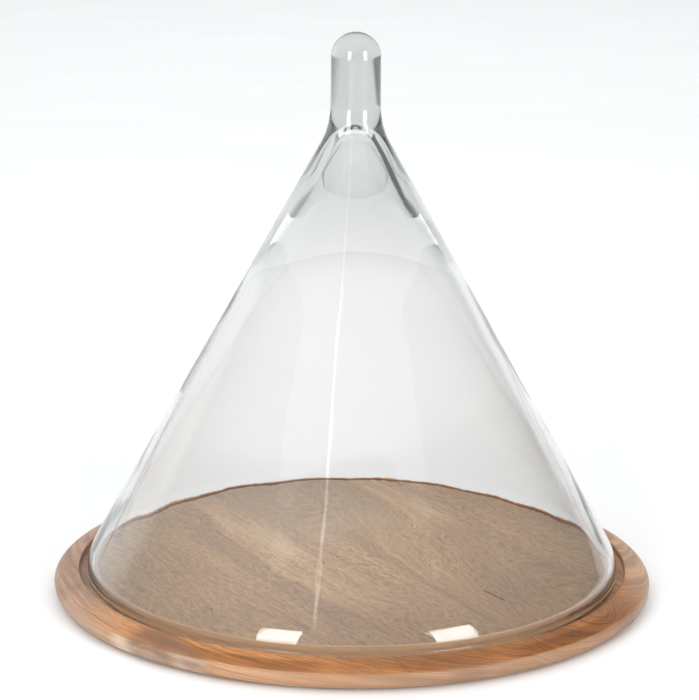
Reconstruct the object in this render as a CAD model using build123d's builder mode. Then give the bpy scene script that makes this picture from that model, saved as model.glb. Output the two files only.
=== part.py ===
"""Bell jar dome: a conical glass bell with a solid finger knob, on a turned round wooden base.

Millimetres, +Z up.  The origin is at the centre of the surface that the foot pads stand on.
Everything round is centred on the Z axis, and every section is drawn as radius against height.
"""
from build123d import *
import os
from math import asin, cos, degrees, radians, sin, sqrt, tan

os.makedirs("parts", exist_ok=True)

# ---------------------------------------------------------------- driving dimensions

# foot pads: felt discs glued under the base
pad_radius = 10.0
pad_thickness = 1.5
pad_circle_radius = 140.0
pad_count = 4

# turned wooden base
base_radius = 180.0
base_thickness = 13.5
widest_height = 6.1         # of the rounded edge's widest line, above the underside
lower_edge_depth = 4.5      # how far the rounded edge runs in below that line
upper_edge_depth = 12.0     # the same above it, before the crease cuts it off
upper_edge_height = 6.9
crease_angle = 46.0         # where the rounded edge meets the top of the rim, in degrees
rim_crown = 0.25            # bulge of the rim's top, which slopes from the groove to the crease
groove_outer_radius = 165.1
groove_inner_radius = 154.2
groove_depth = 3.8          # below the rim's inner edge
platform_rise = 1.9         # of the platform inside the groove, above the rim's inner edge
groove_corner_radius = 1.2
wood_edge_radius = 0.8

# blown glass bell
lip_radius = 160.4          # outside radius where the wall stands upright in the groove
bead_thickness = 4.8        # of the fire-polished bead that stands on the groove's floor
bead_height = 2.4           # from the groove's floor to where the bead is thickest
bead_foot_width = 0.8       # flat that the bead stands on
lip_thickness = 4.0         # of the curved wall above the bead
lip_start_angle = 10.0      # degrees round the lip's arc where the bead has run out
lip_arc_radius = 25.3       # outside arc from the upright bead to the cone
cone_half_angle = 29.4      # degrees, between the wall and the axis
wall_thickness = 2.9        # of the straight cone, which ends where the crown's glass begins
straight_wall_top = 165.0   # height at which the inside turns in, away from the outside
cavity_top = 279.5
cavity_shoulders = [        # inside of the thick crown, from the straight wall up to its tip
    (56.3, 198.0),
    (41.5, 218.0),
    (26.8, 238.0),
    (15.4, 260.0),
    (9.0, 272.0),
]
crown_top = 284.0           # where the crown ends and the knob's gather begins

# solid glass finger knob
knob_radius = 14.75
knob_top_radius = 14.55     # at the start of the rounded cap, and of the cap itself
neck_arc_radius = 43.0      # hollow arc between the cone and the knob
overall_height = 333.0

# ---------------------------------------------------------------- worked-out levels and points

base_bottom = pad_thickness
widest_level = base_bottom + widest_height
rim_top = base_bottom + base_thickness
groove_floor = rim_top - groove_depth
platform_top = rim_top + platform_rise

slope = radians(cone_half_angle)
bead_level = groove_floor + bead_height
lip_arc_centre = (lip_radius - lip_arc_radius, bead_level)


def on_lip_arc(radius, angle=slope):
    """Point on an arc about the lip's centre: where it runs into the cone, or at another angle."""
    return (lip_arc_centre[0] + radius * cos(angle), lip_arc_centre[1] + radius * sin(angle))


def up_the_cone(start, height):
    """Point straight up the cone's slope from start, at the given height."""
    return (start[0] - (height - start[1]) * tan(slope), height)


cone_start = on_lip_arc(lip_arc_radius)
knob_corner_height = cone_start[1] + (cone_start[0] - knob_radius) / tan(slope)
neck_top = knob_corner_height + neck_arc_radius * tan(slope / 2)
neck_arc_centre = (knob_radius + neck_arc_radius, neck_top)
neck_start = (
    neck_arc_centre[0] - neck_arc_radius * cos(slope),
    neck_arc_centre[1] - neck_arc_radius * sin(slope),
)
crown_angle = degrees(asin((neck_top - crown_top) / neck_arc_radius))
crown_radius = neck_arc_centre[0] - sqrt(neck_arc_radius**2 - (neck_top - crown_top) ** 2)

bead_inner_radius = lip_radius - bead_thickness
bead_corner_width = (bead_thickness - bead_foot_width) / 2
inner_lip_arc_radius = lip_arc_radius - lip_thickness
lip_start = radians(lip_start_angle)
inner_lip_start = on_lip_arc(inner_lip_arc_radius, lip_start)
inner_cone_start = on_lip_arc(inner_lip_arc_radius)
wall_width = wall_thickness / cos(slope)
wall_end = up_the_cone((cone_start[0] - wall_width, cone_start[1]), straight_wall_top)


def at_points(shape_list, points):
    """The vertices of a section that lie at the given (radius, height) points."""
    return [
        vertex
        for vertex in shape_list
        if any(abs(vertex.X - r) < 0.01 and abs(vertex.Y - z) < 0.01 for r, z in points)
    ]


# ---------------------------------------------------------------- wooden base

lower_edge_centre = (base_radius - lower_edge_depth, widest_level)
upper_edge_centre = (base_radius - upper_edge_depth, widest_level)
rim_inner_edge = (groove_outer_radius, rim_top)
groove_outer_corner = (groove_outer_radius, groove_floor)
groove_inner_corner = (groove_inner_radius, groove_floor)
platform_edge = (groove_inner_radius, platform_top)

with BuildPart() as wooden_base:
    with BuildSketch(Plane.XZ) as base_section:
        with BuildLine():
            Line((0, base_bottom), (lower_edge_centre[0], base_bottom))
            EllipticalCenterArc(
                lower_edge_centre, lower_edge_depth, widest_height, start_angle=-90, arc_size=90
            )
            upper_edge = EllipticalCenterArc(
                upper_edge_centre, upper_edge_depth, upper_edge_height, arc_size=crease_angle
            )
            SagittaArc(upper_edge @ 1, rim_inner_edge, -rim_crown)
            Polyline(
                rim_inner_edge,
                groove_outer_corner,
                groove_inner_corner,
                platform_edge,
                (0, platform_top),
                (0, base_bottom),
            )
        make_face()
        fillet(
            at_points(base_section.vertices(), [groove_outer_corner, groove_inner_corner]),
            groove_corner_radius,
        )
        fillet(at_points(base_section.vertices(), [rim_inner_edge, platform_edge]), wood_edge_radius)
    revolve(axis=Axis.Z)

# ---------------------------------------------------------------- foot pads

foot_pads = []
for pad_place in PolarLocations(pad_circle_radius, pad_count, start_angle=45):
    with BuildPart() as foot_pad:
        with BuildSketch(Plane(pad_place.position)):
            Circle(pad_radius)
        extrude(amount=pad_thickness)
    foot_pads.append(foot_pad)

# ---------------------------------------------------------------- glass bell

bead_inner_centre = (bead_inner_radius + bead_corner_width, bead_level)
bead_outer_centre = (lip_radius - bead_corner_width, bead_level)

with BuildPart() as glass_bell:
    with BuildSketch(Plane.XZ):
        with BuildLine():
            # rounded foot of the bead
            inner_foot = EllipticalCenterArc(
                bead_inner_centre, bead_corner_width, bead_height, start_angle=180, arc_size=90
            )
            outer_foot = EllipticalCenterArc(
                bead_outer_centre, bead_corner_width, bead_height, start_angle=-90, arc_size=90
            )
            Line(inner_foot @ 1, outer_foot @ 0)
            # outside, from the bead up to the crown
            CenterArc(lip_arc_centre, lip_arc_radius, 0, cone_half_angle)
            Line(cone_start, neck_start)
            CenterArc(
                neck_arc_centre, neck_arc_radius, 180 + cone_half_angle, crown_angle - cone_half_angle
            )
            Line((crown_radius, crown_top), (0, crown_top))
            Line((0, crown_top), (0, cavity_top))
            # inside, from the top of the cavity down to the bead
            Spline(
                (0, cavity_top),
                *reversed(cavity_shoulders),
                wall_end,
                tangents=[(1, 0), (sin(slope), -cos(slope))],
            )
            Line(wall_end, inner_cone_start)
            CenterArc(
                lip_arc_centre,
                inner_lip_arc_radius,
                cone_half_angle,
                lip_start_angle - cone_half_angle,
            )
            Spline(
                inner_lip_start,
                inner_foot @ 0,
                tangents=[(sin(lip_start), -cos(lip_start)), (0, -1)],
            )
        make_face()
    revolve(axis=Axis.Z)

# ---------------------------------------------------------------- glass finger knob

knob_cap_base = overall_height - knob_top_radius

with BuildPart() as glass_finial:
    with BuildSketch(Plane.XZ):
        with BuildLine():
            Line((0, crown_top), (crown_radius, crown_top))
            CenterArc(neck_arc_centre, neck_arc_radius, 180 + crown_angle, -crown_angle)
            Line((knob_radius, neck_top), (knob_top_radius, knob_cap_base))
            CenterArc((0, knob_cap_base), knob_top_radius, 0, 90)
            Line((0, overall_height), (0, crown_top))
        make_face()
    revolve(axis=Axis.Z)

# ---------------------------------------------------------------- labels and files

pieces = {
    "wooden_base": wooden_base,
    "glass_bell": glass_bell,
    "glass_finial": glass_finial,
}
for number, foot_pad in enumerate(foot_pads, start=1):
    pieces[f"foot_pad_{number}"] = foot_pad

for name, piece in pieces.items():
    piece.part.label = name
    export_step(piece.part, f"parts/{name}.step")
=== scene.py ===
"""Looks of a bell jar dome: a hand-blown conical glass bell with a solid finger knob, standing in
the groove of a turned mango-wood base.  Metres throughout, +Z up, in the frame of the CAD model."""
import math

import bpy
import numpy as np
from mathutils import Euler, Matrix, Vector, noise


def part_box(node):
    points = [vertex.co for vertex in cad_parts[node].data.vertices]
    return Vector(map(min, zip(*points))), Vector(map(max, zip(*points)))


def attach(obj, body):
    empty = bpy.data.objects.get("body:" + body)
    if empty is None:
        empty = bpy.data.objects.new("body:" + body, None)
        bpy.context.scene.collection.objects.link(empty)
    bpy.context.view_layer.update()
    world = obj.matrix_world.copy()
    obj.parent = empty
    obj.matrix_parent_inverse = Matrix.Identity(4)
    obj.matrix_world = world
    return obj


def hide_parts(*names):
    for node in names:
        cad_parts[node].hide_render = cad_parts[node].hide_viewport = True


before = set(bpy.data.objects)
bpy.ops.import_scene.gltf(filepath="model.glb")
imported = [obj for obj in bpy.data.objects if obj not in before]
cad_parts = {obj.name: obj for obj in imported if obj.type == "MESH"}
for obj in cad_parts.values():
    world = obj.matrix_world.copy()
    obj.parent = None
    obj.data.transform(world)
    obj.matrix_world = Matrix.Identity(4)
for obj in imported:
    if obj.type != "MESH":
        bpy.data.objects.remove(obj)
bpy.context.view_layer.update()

MM = 0.001
scene = bpy.context.scene

# ---------------------------------------------------------------- camera

BASE_RADIUS = 180.0 * MM
CAMERA_DISTANCE = 7 * BASE_RADIUS
CAMERA_ELEVATION = math.radians(19.18)
SIGHT_LEVEL = 1.6 * MM                 # of the point that the distance and elevation are about
LOOK_DOWN = math.radians(12.82)
LOOK_LEFT = math.radians(0.12)
ROLL = math.radians(0.44)

camera_data = bpy.data.cameras.new("camera")
camera_data.sensor_width = 36.0
camera_data.lens = 105.2
camera_data.clip_start, camera_data.clip_end = 0.05, 60.0
camera = bpy.data.objects.new("camera", camera_data)
camera.location = (
    0,
    -CAMERA_DISTANCE * math.cos(CAMERA_ELEVATION),
    CAMERA_DISTANCE * math.sin(CAMERA_ELEVATION) + SIGHT_LEVEL,
)
turn = Euler((math.pi / 2 - LOOK_DOWN, 0, LOOK_LEFT)).to_matrix() @ Matrix.Rotation(ROLL, 3, "Z")
camera.rotation_euler = turn.to_euler()
scene.collection.objects.link(camera)
scene.camera = camera

# ---------------------------------------------------------------- levels taken from the frame

base_low, base_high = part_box("wooden_base")
bell_low, bell_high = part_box("glass_bell")
knob_low, knob_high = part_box("glass_finial")

BASE_BOTTOM = base_low.z
PLATFORM_TOP = base_high.z
GROOVE_FLOOR = bell_low.z
CROWN_TOP = bell_high.z
KNOB_TOP = knob_high.z

# ---------------------------------------------------------------- sizes of the turned base

RIM_TOP = PLATFORM_TOP - 1.9 * MM
WIDEST_LEVEL = BASE_BOTTOM + 6.1 * MM
LOWER_EDGE_DEPTH = 4.5 * MM
UPPER_EDGE_DEPTH = 12.0 * MM
UPPER_EDGE_HEIGHT = 6.9 * MM
CREASE_ANGLE = math.radians(46.0)
RIM_CROWN = 0.25 * MM
RIM_EDGE_DROP = 0.08 * MM              # of the rim's top, where its rounded inner edge begins
GROOVE_OUTER = 165.1 * MM
GROOVE_INNER = 154.2 * MM
GROOVE_CORNER = 1.2 * MM
WOOD_EDGE = 0.8 * MM

# ---------------------------------------------------------------- sizes of the glass

LIP_RADIUS = 160.4 * MM
BEAD_THICKNESS = 4.8 * MM
BEAD_HEIGHT = 2.4 * MM
BEAD_FOOT = 0.8 * MM
LIP_THICKNESS = 4.0 * MM
LIP_START = math.radians(10.0)
LIP_ARC = 25.3 * MM
SLOPE = math.radians(29.4)
WALL_THICKNESS = 2.9 * MM
STRAIGHT_WALL_TOP = 165.0 * MM
CAVITY_TOP = 279.5 * MM
CAVITY_SHOULDERS = [                   # inside of the crown, from under its tip down to the wall
    (5.6 * MM, 276.6 * MM),
    (9.0 * MM, 272.0 * MM),
    (12.3 * MM, 266.0 * MM),
    (15.4 * MM, 260.0 * MM),
    (18.3 * MM, 254.0 * MM),
    (21.6 * MM, 247.0 * MM),
    (26.8 * MM, 238.0 * MM),
    (33.9 * MM, 228.0 * MM),
    (41.5 * MM, 218.0 * MM),
    (49.1 * MM, 208.0 * MM),
    (56.3 * MM, 198.0 * MM),
]
KNOB_RADIUS = 14.75 * MM
KNOB_TOP_RADIUS = 14.55 * MM
NECK_ARC = 43.0 * MM


# ---------------------------------------------------------------- outlines

def arc(centre, radii, start, end, step):
    """Points along an elliptical arc, from start to end in radians, about step apart."""
    length = abs(end - start) * (radii[0] + radii[1]) / 2
    count = max(3, round(length / step))
    return [
        (centre[0] + radii[0] * math.cos(t), centre[1] + radii[1] * math.sin(t))
        for t in np.linspace(start, end, count + 1)
    ]


def straight(start, end, step):
    """Points along a straight run, both ends included."""
    count = max(1, round(math.dist(start, end) / step))
    return [tuple(p) for p in np.linspace(start, end, count + 1)]


def flowing(points, first_way, last_way, step):
    """Points along a smooth curve through the given points, leaving and arriving the given ways."""
    places = [np.array(p, float) for p in points]
    spans = [math.dist(a, b) for a, b in zip(places, places[1:])]
    ways = [np.array(first_way, float)]
    for i in range(1, len(places) - 1):
        before, after = places[i] - places[i - 1], places[i + 1] - places[i]
        mixed = before / spans[i - 1] * spans[i] + after / spans[i] * spans[i - 1]
        ways.append(mixed / np.linalg.norm(mixed))
    ways.append(np.array(last_way, float))
    out = []
    for i, span in enumerate(spans):
        count = max(2, round(span / step))
        for t in np.linspace(0, 1, count + 1)[:-1]:
            a, b = places[i], places[i + 1]
            out.append(
                tuple(
                    (2 * t**3 - 3 * t**2 + 1) * a
                    + (t**3 - 2 * t**2 + t) * span * ways[i]
                    + (3 * t**2 - 2 * t**3) * b
                    + (t**3 - t**2) * span * ways[i + 1]
                )
            )
    out.append(tuple(places[-1]))
    return out


def joined(*runs):
    """One outline from runs that start where the last one ended."""
    out = list(runs[0])
    for run in runs[1:]:
        out += run[1:] if math.dist(out[-1], run[0]) < 1e-6 else run
    return out


def glass_outline(step):
    """Outside outline from the bead's foot to the knob's top, and inside outline from the foot up."""
    bead_level = GROOVE_FLOOR + BEAD_HEIGHT
    corner = (BEAD_THICKNESS - BEAD_FOOT) / 2
    inner = LIP_RADIUS - BEAD_THICKNESS
    lip_centre = (LIP_RADIUS - LIP_ARC, bead_level)
    fine = step / 4

    def on_lip(radius, angle):
        return (lip_centre[0] + radius * math.cos(angle), lip_centre[1] + radius * math.sin(angle))

    cone_start = on_lip(LIP_ARC, SLOPE)
    corner_level = cone_start[1] + (cone_start[0] - KNOB_RADIUS) / math.tan(SLOPE)
    neck_top = corner_level + NECK_ARC * math.tan(SLOPE / 2)
    neck_centre = (KNOB_RADIUS + NECK_ARC, neck_top)
    neck_start = (
        neck_centre[0] - NECK_ARC * math.cos(SLOPE),
        neck_centre[1] - NECK_ARC * math.sin(SLOPE),
    )
    cap_level = KNOB_TOP - KNOB_TOP_RADIUS
    foot_middle = (LIP_RADIUS - BEAD_THICKNESS / 2, GROOVE_FLOOR)
    outside = joined(
        straight(foot_middle, (LIP_RADIUS - corner, GROOVE_FLOOR), fine),
        arc((LIP_RADIUS - corner, bead_level), (corner, BEAD_HEIGHT), -math.pi / 2, 0, fine),
        arc(lip_centre, (LIP_ARC, LIP_ARC), 0, SLOPE, step / 2),
        straight(cone_start, neck_start, step),
        arc(neck_centre, (NECK_ARC, NECK_ARC), math.pi + SLOPE, math.pi, step / 2),
        straight((KNOB_RADIUS, neck_top), (KNOB_TOP_RADIUS, cap_level), step / 2),
        arc((0, cap_level), (KNOB_TOP_RADIUS, KNOB_TOP_RADIUS), 0, math.pi / 2, step / 3),
    )
    inner_arc = LIP_ARC - LIP_THICKNESS
    wall_width = WALL_THICKNESS / math.cos(SLOPE)
    wall_end = (
        cone_start[0] - wall_width - (STRAIGHT_WALL_TOP - cone_start[1]) * math.tan(SLOPE),
        STRAIGHT_WALL_TOP,
    )
    up_lip = (-math.sin(LIP_START), math.cos(LIP_START))
    up_cone = (-math.sin(SLOPE), math.cos(SLOPE))
    inside = joined(
        straight(foot_middle, (inner + corner, GROOVE_FLOOR), fine),
        arc((inner + corner, bead_level), (corner, BEAD_HEIGHT), -math.pi / 2, -math.pi, fine),
        flowing([(inner, bead_level), on_lip(inner_arc, LIP_START)], (0, 1), up_lip, step / 2),
        arc(lip_centre, (inner_arc, inner_arc), LIP_START, SLOPE, step / 2),
        straight(on_lip(inner_arc, SLOPE), wall_end, step),
        flowing([wall_end, *reversed(CAVITY_SHOULDERS), (0, CAVITY_TOP)], up_cone, (-1, 0), step / 2),
    )
    return outside, inside


def base_outline(step):
    """Outline of the turned base from the middle of its underside to the middle of its platform."""
    crease = (
        BASE_RADIUS - UPPER_EDGE_DEPTH * (1 - math.cos(CREASE_ANGLE)),
        WIDEST_LEVEL + UPPER_EDGE_HEIGHT * math.sin(CREASE_ANGLE),
    )
    quarter = math.pi / 2
    fine = step / 5
    rim_edge = (GROOVE_OUTER + WOOD_EDGE, RIM_TOP - WOOD_EDGE)
    rim_shoulder = (GROOVE_OUTER + WOOD_EDGE, RIM_TOP - RIM_EDGE_DROP)
    crest = ((crease[0] + rim_shoulder[0]) / 2, (crease[1] + rim_shoulder[1]) / 2 + RIM_CROWN)
    fall = math.atan2(rim_shoulder[1] - crease[1], crease[0] - rim_shoulder[0])
    bend = 4 * RIM_CROWN / math.dist(crease, rim_shoulder)
    leave = (-math.cos(fall + bend), math.sin(fall + bend))
    arrive = (-math.cos(fall - bend), math.sin(fall - bend))
    return joined(
        straight((0, BASE_BOTTOM), (BASE_RADIUS - LOWER_EDGE_DEPTH, BASE_BOTTOM), step),
        arc(
            (BASE_RADIUS - LOWER_EDGE_DEPTH, WIDEST_LEVEL),
            (LOWER_EDGE_DEPTH, WIDEST_LEVEL - BASE_BOTTOM),
            -quarter,
            0,
            fine,
        ),
        arc(
            (BASE_RADIUS - UPPER_EDGE_DEPTH, WIDEST_LEVEL),
            (UPPER_EDGE_DEPTH, UPPER_EDGE_HEIGHT),
            0,
            CREASE_ANGLE,
            fine,
        ),
        flowing([crease, crest, rim_shoulder], leave, arrive, fine),
        arc(rim_edge, (WOOD_EDGE, RIM_TOP - RIM_EDGE_DROP - rim_edge[1]), quarter, 2 * quarter, fine / 2),
        straight((GROOVE_OUTER, rim_edge[1]), (GROOVE_OUTER, GROOVE_FLOOR + GROOVE_CORNER), fine),
        arc(
            (GROOVE_OUTER - GROOVE_CORNER, GROOVE_FLOOR + GROOVE_CORNER),
            (GROOVE_CORNER, GROOVE_CORNER),
            0,
            -quarter,
            fine / 2,
        ),
        straight(
            (GROOVE_OUTER - GROOVE_CORNER, GROOVE_FLOOR),
            (GROOVE_INNER + GROOVE_CORNER, GROOVE_FLOOR),
            fine,
        ),
        arc(
            (GROOVE_INNER + GROOVE_CORNER, GROOVE_FLOOR + GROOVE_CORNER),
            (GROOVE_CORNER, GROOVE_CORNER),
            -quarter,
            -2 * quarter,
            fine / 2,
        ),
        straight(
            (GROOVE_INNER, GROOVE_FLOOR + GROOVE_CORNER),
            (GROOVE_INNER, PLATFORM_TOP - WOOD_EDGE),
            fine,
        ),
        arc(
            (GROOVE_INNER - WOOD_EDGE, PLATFORM_TOP - WOOD_EDGE),
            (WOOD_EDGE, WOOD_EDGE),
            0,
            quarter,
            fine / 2,
        ),
        straight((GROOVE_INNER - WOOD_EDGE, PLATFORM_TOP), (0, PLATFORM_TOP), step),
    )


# ---------------------------------------------------------------- turning outlines into meshes

def outline_normals(outline):
    """Unit normals of an outline, to the right of its direction of travel."""
    p = np.array(outline)
    along = np.gradient(p, axis=0)
    length = np.maximum(np.linalg.norm(along, axis=1), 1e-12)
    return np.stack([along[:, 1], -along[:, 0]], 1) / length[:, None]


def turned(name, outline, segments, shift=None, centre=(0.0, 0.0)):
    """A mesh object turned about an upright axis from an outline.

    An end on the axis closes to one vertex.  shift(point) gives how far a vertex moves outwards
    along the outline's normal, in metres.
    """
    normals = outline_normals(outline)
    middle = Vector((centre[0], centre[1], 0))
    vertices, rings = [], []
    for (radius, level), normal in zip(outline, normals):
        if radius < 1e-6:
            rings.append([len(vertices)])
            vertices.append(middle + Vector((0, 0, level)))
            continue
        ring = []
        for k in range(segments):
            angle = 2 * math.pi * k / segments
            ways = Vector((math.cos(angle), math.sin(angle), 0))
            place = ways * radius + Vector((0, 0, level))
            if shift:
                way = ways * normal[0] + Vector((0, 0, normal[1]))
                place += way * shift(place)
            ring.append(len(vertices))
            vertices.append(middle + place)
        rings.append(ring)
    faces = []
    for low, high in zip(rings, rings[1:]):
        for k in range(segments):
            j = (k + 1) % segments
            if len(low) == 1:
                faces.append((low[0], high[j], high[k]))
            elif len(high) == 1:
                faces.append((low[k], low[j], high[0]))
            else:
                faces.append((low[k], low[j], high[j], high[k]))
    mesh = bpy.data.meshes.new(name)
    mesh.from_pydata(vertices, [], faces)
    mesh.validate()
    mesh.polygons.foreach_set("use_smooth", [True] * len(mesh.polygons))
    piece = bpy.data.objects.new(name, mesh)
    scene.collection.objects.link(piece)
    return piece


def ripple(place, size, seed):
    """Smooth noise from -1 to 1 that varies over about size metres."""
    return noise.noise(Vector(place) / size + Vector((seed, -seed, 2 * seed)))


def smooth(value, low, high):
    """0 below low, 1 above high, and a soft step between; low may be above high."""
    t = min(1.0, max(0.0, (value - low) / (high - low)))
    return t * t * (3 - 2 * t)


# ---------------------------------------------------------------- material helpers

class Nodes:
    """A material's node tree, with short ways to add and link nodes."""

    def __init__(self, tree):
        self.tree = tree
        tree.nodes.clear()

    def link(self, source, target):
        self.tree.links.new(source, target)

    def give(self, socket, value):
        """Link a socket to another node's output, or set it to a constant."""
        if hasattr(value, "is_linked"):
            self.link(value, socket)
        else:
            socket.default_value = value

    def place(self, kind="Object"):
        return self.tree.nodes.new("ShaderNodeTexCoord").outputs[kind]

    def mapped(self, vector, scale=(1, 1, 1), turn=(0, 0, 0), move=(0, 0, 0)):
        node = self.tree.nodes.new("ShaderNodeMapping")
        node.inputs["Location"].default_value = move
        node.inputs["Rotation"].default_value = turn
        node.inputs["Scale"].default_value = scale
        self.link(vector, node.inputs["Vector"])
        return node.outputs["Vector"]

    def noise(self, vector, scale=1.0, detail=3.0, roughness=0.5, distortion=0.0):
        node = self.tree.nodes.new("ShaderNodeTexNoise")
        for name, value in (
            ("Vector", vector),
            ("Scale", scale),
            ("Detail", detail),
            ("Roughness", roughness),
            ("Distortion", distortion),
        ):
            self.give(node.inputs[name], value)
        return node.outputs["Fac"]

    def cells(self, vector):
        """Distance from the nearest of many scattered points."""
        node = self.tree.nodes.new("ShaderNodeTexVoronoi")
        self.give(node.inputs["Vector"], vector)
        self.give(node.inputs["Scale"], 1.0)
        return node.outputs["Distance"]

    def math(self, how, a, b=0.0, c=0.0):
        node = self.tree.nodes.new("ShaderNodeMath")
        node.operation = how
        for socket, value in zip(node.inputs, (a, b, c)):
            self.give(socket, value)
        return node.outputs[0]

    def add(self, *values):
        total = values[0]
        for value in values[1:]:
            total = self.math("ADD", total, value)
        return total

    def times(self, *values):
        total = values[0]
        for value in values[1:]:
            total = self.math("MULTIPLY", total, value)
        return total

    def spread(self, value, size, middle=0.0):
        """A value from 0 to 1 spread over size, about the given middle."""
        return self.math("MULTIPLY_ADD", value, size, middle - size / 2)

    def step(self, value, low, high, to_low=0.0, to_high=1.0):
        """A soft step from to_low to to_high as value goes from low to high; low may be above high."""
        node = self.tree.nodes.new("ShaderNodeMapRange")
        node.interpolation_type = "SMOOTHSTEP"
        for socket, number in zip(node.inputs[0:5], (value, low, high, to_low, to_high)):
            self.give(socket, number)
        return node.outputs[0]

    def between(self, value, low, high, soft):
        """1 between low and high, fading to 0 within soft outside them."""
        return self.times(self.step(value, low - soft, low), self.step(value, high + soft, high))

    def mix(self, factor, a, b, how="MIX"):
        node = self.tree.nodes.new("ShaderNodeMix")
        node.data_type = "RGBA"
        node.blend_type = how
        for socket, value in ((node.inputs[0], factor), (node.inputs[6], a), (node.inputs[7], b)):
            self.give(socket, (*value, 1.0) if isinstance(value, tuple) else value)
        return node.outputs[2]

    def ramp(self, value, stops):
        node = self.tree.nodes.new("ShaderNodeValToRGB")
        elements = node.color_ramp.elements
        while len(elements) < len(stops):
            elements.new(0.5)
        for element, (position, colour) in zip(elements, stops):
            element.position = position
            element.color = (*colour, 1.0)
        self.link(value, node.inputs[0])
        return node.outputs["Color"]

    def parts(self, vector):
        node = self.tree.nodes.new("ShaderNodeSeparateXYZ")
        self.link(vector, node.inputs[0])
        return node.outputs[0], node.outputs[1], node.outputs[2]

    def vector(self, x, y, z):
        node = self.tree.nodes.new("ShaderNodeCombineXYZ")
        for socket, value in zip(node.inputs, (x, y, z)):
            self.give(socket, value)
        return node.outputs[0]

    def bump(self, height, strength, distance):
        node = self.tree.nodes.new("ShaderNodeBump")
        self.give(node.inputs["Height"], height)
        self.give(node.inputs["Strength"], strength)
        self.give(node.inputs["Distance"], distance)
        return node.outputs["Normal"]


def surface(name, **settings):
    """A material with one Principled shader: the material, its nodes, the shader and the output."""
    material = bpy.data.materials.new(name)
    material.use_nodes = True
    nodes = Nodes(material.node_tree)
    shader = material.node_tree.nodes.new("ShaderNodeBsdfPrincipled")
    output = material.node_tree.nodes.new("ShaderNodeOutputMaterial")
    nodes.link(shader.outputs["BSDF"], output.inputs["Surface"])
    for key, value in settings.items():
        shader.inputs[key.replace("_", " ")].default_value = value
    return material, nodes, shader, output


# ---------------------------------------------------------------- materials

GRAIN_ANGLE = math.radians(-58.0)      # the grain's direction seen from above, from +X
LAYER_TILT = 7.0                       # flat-sawn: the growth layers lie almost level


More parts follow.
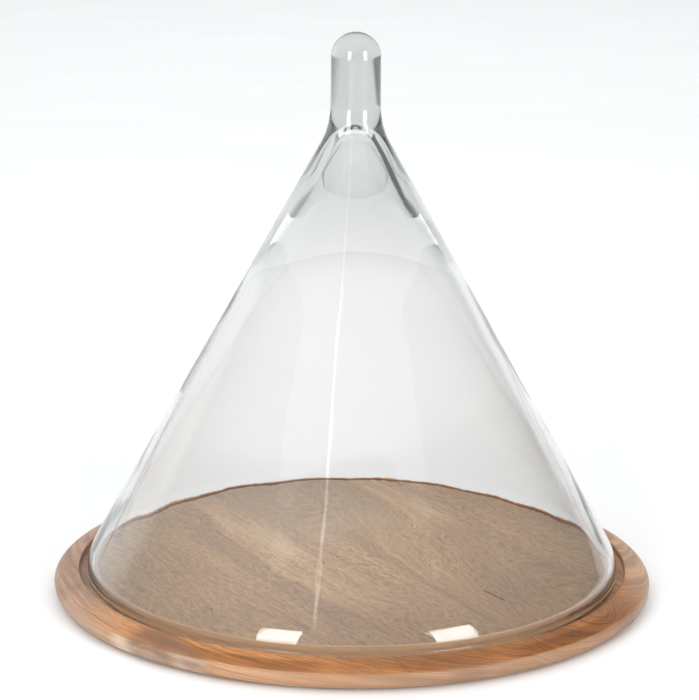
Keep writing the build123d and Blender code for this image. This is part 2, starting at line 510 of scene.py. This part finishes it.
class Board:
    """Wood of one flat-sawn board: u runs along its grain, v across it and w up through it."""

    def __init__(self, n):
        self.n = n
        place = n.place()
        self.x, self.y, self.z = n.parts(place)
        self.radius = n.math("SQRT", n.add(n.times(self.x, self.x), n.times(self.y, self.y)))
        self.u, self.v, self.w = n.parts(n.mapped(place, turn=(0, 0, -GRAIN_ANGLE)))

        # the grain wanders slowly, and on one side it runs together towards the front
        spot = n.vector(self.u, self.v, self.w)
        slow = n.noise(n.mapped(spot, scale=(5.5, 9.0, 9.0)), detail=2.0)
        self.small = n.noise(n.mapped(spot, scale=(26.0, 40.0, 40.0), move=(5, 3, 1)), detail=3.0)
        swerve = n.between(self.v, 0.028, 0.068, 0.026)
        self.across = n.add(
            self.v,
            n.spread(slow, 0.030),
            n.spread(self.small, 0.014),
            n.times(self.u, swerve, 0.30),
        )
        layers = n.add(self.across, n.times(self.w, LAYER_TILT))
        self.flow = n.vector(self.u, layers, self.w)

        self.broad = self.grain((4.5, 32.0, 1.0), (2, 6, 4), 3.0, 0.55)
        self.lines = self.grain((14.0, 190.0, 1.0), (3, 1, 2), 4.0, 0.65)
        self.fibre = self.grain((110.0, 620.0, 60.0), (1, 7, 4), 4.0, 0.75)
        self.fleck = self.grain((150.0, 420.0, 60.0), (6, 2, 8), 3.0, 0.70)

    def grain(self, scale, move, detail, roughness):
        """Noise drawn out along the grain."""
        stretched = self.n.mapped(self.flow, scale=scale, move=move)
        return self.n.noise(stretched, detail=detail, roughness=roughness)

    def cloud(self, u_range, v_range, soft_u, soft_v):
        """A ragged streak or cloud in the given stretches, which fades out over the soft distances."""
        n = self.n
        ragged = n.spread(self.lines, 1.6, 1.0)
        along_it = n.between(self.u, *u_range, soft_u)
        return n.times(along_it, n.between(self.across, *v_range, soft_v), ragged)

    def face_colour(self):
        """Colour of the wood without its oil: its grain, and pale, golden, purplish and dark clouds."""
        n, cloud = self.n, self.cloud
        pale = cloud((-0.160, -0.060), (-0.012, 0.030), 0.070, 0.030)
        gold = n.add(
            cloud((-0.130, -0.040), (-0.042, -0.026), 0.050, 0.008),
            cloud((-0.120, -0.030), (0.064, 0.090), 0.040, 0.014),
            n.times(cloud((-0.060, 0.070), (-0.045, -0.030), 0.050, 0.014), 0.5),
        )
        purple = n.add(
            cloud((-0.075, 0.080), (-0.066, -0.056), 0.050, 0.008),
            cloud((-0.010, 0.110), (0.072, 0.094), 0.040, 0.016),
            n.times(cloud((0.095, 0.150), (-0.070, 0.060), 0.050, 0.040), 0.7),
        )
        streak = cloud((-0.010, 0.115), (0.008, 0.013), 0.040, 0.004)
        tone = n.add(
            n.spread(self.broad, 0.30, 0.53),
            n.spread(self.lines, 0.76),
            n.spread(self.fibre, 1.25),
            n.spread(self.fleck, 0.80),
            n.times(gold, 0.20),
            n.times(purple, -0.07),
            n.times(streak, -0.08),
        )
        colour = n.ramp(
            tone,
            [
                (0.05, (0.330, 0.190, 0.120)),
                (0.32, (0.520, 0.312, 0.184)),
                (0.52, (0.660, 0.412, 0.238)),
                (0.72, (0.785, 0.515, 0.300)),
                (0.95, (0.880, 0.625, 0.395)),
            ],
        )
        colour = n.mix(n.times(pale, 0.45), colour, (0.66, 0.50, 0.37))
        colour = n.mix(n.times(streak, 0.22), colour, (0.36, 0.27, 0.21))
        return n.mix(n.times(purple, 0.22), colour, (0.46, 0.31, 0.24))

    def oiled_and_sheen(self, face):
        """The rim, which took more oil: more orange, greyer left and right (partly its own grey, partly a
        painted sheen), darkest at the front.
        """
        n, x, lines = self.n, self.x, self.lines
        brown = n.times(n.step(lines, 0.55, 0.41), 0.70)
        colour = n.mix(1.0, face, (0.88, 0.60, 0.35), "MULTIPLY")
        colour = n.mix(brown, colour, (0.30, 0.13, 0.050))
        # painted sheen: the rim's sides are greyed, partly the wood's own grey and partly standing in for
        # the bright reflection on them
        grey_sides_and_sheen = n.add(n.step(x, -0.100, -0.172), n.step(x, 0.150, 0.178))
        sheen_grey_grain = n.mix(lines, (0.17, 0.125, 0.10), (0.60, 0.50, 0.43))
        colour = n.mix(n.times(grey_sides_and_sheen, 0.55), colour, sheen_grey_grain)
        deep = n.times(n.step(x, -0.01, 0.05), n.step(self.y, -0.03, -0.09))
        colour = n.mix(n.times(deep, 0.8), colour, (0.78, 0.74, 0.68), "MULTIPLY")

        # the grain runs straight out of the rim where this is 1, which is at the front
        along = n.math("DIVIDE", self.u, self.radius)
        end_grain = n.step(along, 0.55, 0.90)
        colour = n.mix(n.times(end_grain, 0.62), colour, (0.62, 0.57, 0.52), "MULTIPLY")
        bands = n.vector(n.times(self.across, 190.0), n.times(self.u, 12.0), n.times(self.w, 30.0))
        bars = n.step(n.noise(bands, detail=3.0), 0.54, 0.70)
        bars = n.times(bars, n.step(along, 0.78, 0.92), 0.36)
        return n.mix(bars, colour, (0.155, 0.085, 0.042))

    def pale_edge_and_painted_light(self, oiled_and_sheen):
        """The rounded edge: paler below a line (partly its own tan, partly a painted highlight), with a
        painted highlight low at the left front, and thicker with oil just above the line.
        """
        n, x, y, z = self.n, self.x, self.y, self.z
        # partly painted highlight: below this line the edge turns paler, part its own tan and part the
        # lamps' light on it
        below = n.step(z, RIM_TOP - 3.8 * MM, RIM_TOP - 5.2 * MM)
        pale = n.mix(self.lines, (0.22, 0.145, 0.095), (0.56, 0.41, 0.29))
        colour = n.mix(n.times(below, 0.50), oiled_and_sheen, pale)
        # painted highlight: a bright patch low on the edge at the left front, standing in for a lamp's
        # light
        painted_low_glow = n.times(n.between(x, -0.125, -0.085, 0.012), n.step(y, -0.08, -0.11), below, 0.55)
        colour = n.mix(painted_low_glow, colour, (0.86, 0.70, 0.56))
        above = n.between(z, RIM_TOP - 4.0 * MM, RIM_TOP - 1.4 * MM, 0.6 * MM)
        thick = n.add(n.between(x, -0.080, -0.026, 0.016), n.between(x, 0.098, 0.150, 0.016))
        thick = n.times(thick, n.step(y, -0.07, -0.10), above)
        return n.mix(n.times(thick, 0.85), colour, (0.62, 0.56, 0.50), "MULTIPLY")

    def stained(self, rim):
        """The rim with its four ragged brown stains."""
        n, x, y, u, v = self.n, self.x, self.y, self.u, self.v
        stain = n.add(
            n.times(n.between(u, 0.052, 0.098, 0.016), n.between(self.across, -0.174, -0.156, 0.012), 1.25),
            n.times(n.between(u, 0.170, 0.184, 0.012), n.between(v, -0.040, -0.032, 0.010), 0.7),
            n.times(n.between(x, -0.190, -0.160, 0.006), n.between(y, -0.055, 0.030, 0.020), 0.7),
            n.times(n.between(x, 0.135, 0.160, 0.008), n.between(y, -0.095, -0.070, 0.010), 0.6),
        )
        ragged = n.add(n.times(self.broad, 0.5), n.times(self.small, 0.5), n.times(self.fibre, 0.5))
        stain = n.times(stain, n.step(ragged, 0.52, 0.88))
        return n.mix(n.times(stain, 0.75), rim, (0.20, 0.105, 0.065))

    def pores(self):
        """Short dashes along the grain, in drifts."""
        n = self.n
        dashes = n.cells(n.mapped(self.flow, scale=(170.0, 1250.0, 60.0)))
        drift = self.grain((16.0, 70.0, 1.0), (9, 2, 5), 3.0, 0.5)
        return n.times(n.step(dashes, 0.30, 0.10), n.step(drift, 0.40, 0.62))

    def check(self):
        """One fine crack in the platform's top, along the grain."""
        n = self.n
        on_top = n.step(self.z, PLATFORM_TOP - 3.0 * MM, PLATFORM_TOP - 1.0 * MM)
        along_it = n.between(self.u, 0.098, 0.114, 0.004)
        return n.times(along_it, n.between(self.v, 0.0290, 0.0296, 0.0006), on_top)


def wood_material():
    """Oiled mango wood, one board through: a pale platform inside a darker rim."""
    material, n, shader, _ = surface("mango_wood", IOR=1.45, Specular_IOR_Level=0.4)
    board = Board(n)
    face = board.face_colour()
    off_platform = n.step(board.radius, GROOVE_INNER + 0.2 * MM, GROOVE_INNER + 1.8 * MM)
    above_underside = n.step(board.z, BASE_BOTTOM + 0.1 * MM, BASE_BOTTOM + 1.2 * MM)
    rim = board.stained(board.pale_edge_and_painted_light(board.oiled_and_sheen(face)))
    colour = n.mix(n.times(off_platform, above_underside), face, rim)

    # painted light: the platform's edge in the groove is painted pale, standing in for the light that
    # reaches it through the glass
    painted_groove_light = n.times(
        n.between(board.radius, GROOVE_INNER - 0.6 * MM, GROOVE_INNER + 0.05 * MM, 0.3 * MM),
        n.step(board.z, GROOVE_FLOOR, GROOVE_FLOOR + 2.0 * MM),
    )
    painted_groove_light_grain = n.mix(board.lines, (0.60, 0.33, 0.17), (0.95, 0.62, 0.37))
    colour = n.mix(n.times(painted_groove_light, 0.85), colour, painted_groove_light_grain)

    pores, check = board.pores(), board.check()
    colour = n.mix(n.times(pores, 0.50), colour, (0.105, 0.062, 0.038))
    colour = n.mix(n.times(check, 0.85), colour, (0.07, 0.04, 0.026))
    n.give(shader.inputs["Base Color"], colour)
    n.give(shader.inputs["Roughness"], n.spread(board.fibre, 0.20, 0.44))

    turning = n.noise(
        n.vector(n.times(board.radius, 1500.0), 0.0, n.times(board.z, 1500.0)), detail=1.0
    )
    height = n.add(
        n.times(board.fibre, 0.35),
        n.times(pores, -0.9),
        n.times(turning, 0.30),
        n.times(check, -2.0),
    )
    n.give(shader.inputs["Normal"], n.bump(height, 0.5, 0.2 * MM))
    return material


def glass_material():
    """Clear glass with a faint green tint that shows in its thick parts."""
    material, n, shader, output = surface("blown_glass", Roughness=0.0, IOR=1.5, Transmission_Weight=1.0)
    shader.inputs["Base Color"].default_value = (1.0, 1.0, 1.0, 1.0)
    tint = n.tree.nodes.new("ShaderNodeVolumeAbsorption")
    tint.inputs["Color"].default_value = (0.45, 0.51, 0.47, 1.0)
    tint.inputs["Density"].default_value = 28.0
    n.link(tint.outputs["Volume"], output.inputs["Volume"])
    seeds = n.noise(n.mapped(n.place(), scale=(420.0, 420.0, 260.0)), detail=1.0)
    n.give(shader.inputs["Normal"], n.bump(seeds, 1.0, 0.006 * MM))
    return material


def felt_material():
    """Dark brown wool felt."""
    material, n, shader, _ = surface("wool_felt", Roughness=0.95, Sheen_Weight=0.4)
    place = n.place()
    hairs = n.noise(place, 900.0, detail=4.0, roughness=0.7, distortion=1.5)
    clumps = n.noise(place, 260.0, detail=2.0)
    colour = n.ramp(
        n.add(n.times(hairs, 0.6), n.times(clumps, 0.4)),
        [(0.30, (0.030, 0.022, 0.017)), (0.50, (0.070, 0.050, 0.038)), (0.72, (0.130, 0.098, 0.075))],
    )
    n.give(shader.inputs["Base Color"], colour)
    n.give(shader.inputs["Normal"], n.bump(hairs, 0.6, 0.3 * MM))
    return material


def floor_material():
    """Matte white paper with a very faint mottle, and painted shade far out to the left and right, where
    its light would fall off.
    """
    material, n, shader, _ = surface("studio_white", Roughness=0.8, Specular_IOR_Level=0.2)
    place = n.place()
    x, _, _ = n.parts(place)
    mottle = n.noise(place, 3.0, detail=2.0)
    white = n.ramp(mottle, [(0.3, (0.915, 0.907, 0.899)), (0.7, (0.935, 0.927, 0.919))])
    # painted shade: the floor darkens far out to the sides, standing in for its light falling off there
    left = n.step(x, -1.5, -2.1, 0.0, 0.85)
    right = n.step(x, 1.2, 3.0, 0.0, 0.5)
    n.give(shader.inputs["Base Color"], n.mix(n.add(left, right), white, (0.10, 0.10, 0.10)))
    return material


# ---------------------------------------------------------------- the glass

GLASS_STEP = 2.9 * MM                  # between points of the straight outlines, finer in curves
GLASS_SEGMENTS = 288
SKIN_DEPTH = 1.5 * MM                  # deeper than this under the outside lies the inside skin
STILL_FOOT = 16 * MM                   # the waves grow from nothing over this height

# height, length and seed of the waves all over each skin, and of the ones only near the lip
OUTER_WAVES = [(0.16 * MM, 0.060, 11.3), (0.05 * MM, 0.024, 5.1), (0.010 * MM, 0.009, 2.7)]
OUTER_LOW_WAVE = (0.06 * MM, 0.022, 7.4)
INNER_WAVES = [(0.28 * MM, 0.055, 31.7), (0.09 * MM, 0.022, 17.9), (0.012 * MM, 0.010, 8.3)]
INNER_LOW_WAVE = (0.24 * MM, 0.030, 6.2)


def waves(place, *kinds):
    """Sum of ripples, each given by its height, length and seed."""
    return sum(height * ripple(place, length, seed) for height, length, seed in kinds)


def outer_shift(place):
    """Slow waves of the blown outside, quieter on the knob and livelier near the lip."""
    calm = 1.0 - 0.6 * smooth(place.z, CROWN_TOP - 0.02, CROWN_TOP)
    low = smooth(place.z, GROOVE_FLOOR + 0.070, GROOVE_FLOOR + 0.020)
    return calm * (waves(place, *OUTER_WAVES) + low * waves(place, OUTER_LOW_WAVE))


def inner_shift(place):
    """Waves of the blown inside, stronger than outside because nothing smoothed it."""
    low = smooth(place.z, GROOVE_FLOOR + 0.080, GROOVE_FLOOR + 0.030)
    return waves(place, *INNER_WAVES) + low * waves(place, INNER_LOW_WAVE)


def build_glass():
    """Bell and knob as the one fused mass of glass that they are, cavity skin and outside skin."""
    outside, inside = glass_outline(GLASS_STEP)
    outer_radii, outer_levels = zip(*outside)

    def shift(place):
        depth = np.interp(place.z, outer_levels, outer_radii) - math.hypot(place.x, place.y)
        skin_shift = inner_shift if depth > SKIN_DEPTH else outer_shift
        return skin_shift(place) * smooth(place.z, GROOVE_FLOOR, GROOVE_FLOOR + STILL_FOOT)

    return turned("blown_glass_bell", inside[::-1] + outside[1:], GLASS_SEGMENTS, shift)


glass = build_glass()
glass.data.materials.append(glass_material())
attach(glass, "dome")
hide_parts("glass_bell", "glass_finial")

# ---------------------------------------------------------------- the base

BASE_STEP = 4.0 * MM                   # the same for the wood
BASE_SEGMENTS = 360

base = turned("turned_wood_base", base_outline(BASE_STEP), BASE_SEGMENTS)
base.data.materials.append(wood_material())
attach(base, "base")
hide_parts("wooden_base")

# ---------------------------------------------------------------- felt pads

PAD_EDGE = 0.4 * MM
PAD_SEGMENTS = 96
FUZZ_DEPTH = 0.06 * MM
FUZZ_SIZE = 1.2 * MM
GLUED_DEPTH = 0.2 * MM                 # of the pad's top, which is flat under the wood


def felt_pad(number):
    """A felt disc with a rounded lower edge and a fuzzy surface, in its CAD node's box."""
    low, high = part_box(f"foot_pad_{number}")
    middle = (low + high) / 2
    pad_radius = (high.x - low.x) / 2
    edge_centre = (pad_radius - PAD_EDGE, low.z + PAD_EDGE)
    outline = joined(
        straight((0, low.z), (edge_centre[0], low.z), 1.0 * MM),
        arc(edge_centre, (PAD_EDGE, PAD_EDGE), -math.pi / 2, 0, 0.12 * MM),
        straight((pad_radius, edge_centre[1]), (pad_radius, high.z), 0.25 * MM),
        straight((pad_radius, high.z), (0, high.z), 1.0 * MM),
    )

    def fuzz(place):
        loose = place.z < high.z - GLUED_DEPTH
        return -FUZZ_DEPTH * (1 + ripple(place, FUZZ_SIZE, 4.0 * number)) * loose

    return turned(f"felt_pad_{number}", outline, PAD_SEGMENTS, fuzz, (middle.x, middle.y))


felt = felt_material()
for number in range(1, 5):
    pad = felt_pad(number)
    pad.data.materials.append(felt)
    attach(pad, "base")
    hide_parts(f"foot_pad_{number}")

# ---------------------------------------------------------------- floor and lights

FLOOR_HALF = 7.5
floor_mesh = bpy.data.meshes.new("floor")
floor_mesh.from_pydata(
    [
        (-FLOOR_HALF, -FLOOR_HALF, 0),
        (FLOOR_HALF, -FLOOR_HALF, 0),
        (FLOOR_HALF, FLOOR_HALF, 0),
        (-FLOOR_HALF, FLOOR_HALF, 0),
    ],
    [],
    [(0, 1, 2, 3)],
)
floor_mesh.materials.append(floor_material())
floor = bpy.data.objects.new("floor", floor_mesh)
scene.collection.objects.link(floor)


LIGHT_TARGET = Vector((0, 0, 50 * MM))


def softbox(name, azimuth, elevation, distance, width, height, radiance):
    """A rectangular light facing the object, as bright at any size as its radiance says.

    Azimuth and elevation are in degrees, from the camera's side and from level.
    """
    a, e = math.radians(azimuth), math.radians(elevation)
    way = Vector((math.sin(a) * math.cos(e), -math.cos(a) * math.cos(e), math.sin(e)))
    lamp = bpy.data.lights.new(name, "AREA")
    lamp.shape = "RECTANGLE"
    lamp.size, lamp.size_y = width, height
    lamp.energy = radiance * math.pi * width * height
    lit = bpy.data.objects.new(name, lamp)
    lit.location = LIGHT_TARGET + way * distance
    lit.rotation_mode = "QUATERNION"
    lit.rotation_quaternion = way.to_track_quat("Z", "Y")
    scene.collection.objects.link(lit)
    return lit


softbox("softbox_left", -30, 14.5, 5.0, 1.50, 2.70, 9.5)
softbox("softbox_right", 43, 14.5, 5.0, 1.60, 2.70, 9.5)
softbox("strip", -16, 47, 2.2, 0.05, 1.05, 2.4)
overhead = softbox("overhead", 180, 48, 5.4, 8.0, 16.0, 0.92)
overhead.rotation_quaternion = (1, 0, 0, 0)     # straight down
overhead.visible_glossy = False                 # it lights the wood, and stays out of reflections

world = bpy.data.worlds.new("studio")
world.use_nodes = True
n = Nodes(world.node_tree)
background = n.tree.nodes.new("ShaderNodeBackground")
n.link(background.outputs[0], n.tree.nodes.new("ShaderNodeOutputWorld").inputs["Surface"])
way_x, way_y, way_z = n.parts(n.place("Generated"))

# a white sweep stands behind the object, turned a little to the left, in a room that is dim at the right
SWEEP_TURN = math.radians(12)
facing = n.add(n.times(way_y, math.cos(SWEEP_TURN)), n.times(way_x, -math.sin(SWEEP_TURN)))
sweep = n.times(n.step(facing, 0.54, 0.68), n.step(way_z, 0.42, 0.28))
room = n.mix(n.step(way_x, -0.75, 0.75), (0.52, 0.55, 0.58), (0.19, 0.20, 0.21))
white = n.mix(n.step(way_z, -0.01, 0.14), (1.01, 1.02, 1.03), (1.02, 1.03, 1.04))
n.give(background.inputs["Color"], n.mix(sweep, room, white))
scene.world = world

scene.view_settings.view_transform = "Standard"
scene.cycles.max_bounces = 32
scene.cycles.glossy_bounces = 24
scene.cycles.transmission_bounces = 32
scene.cycles.diffuse_bounces = 3
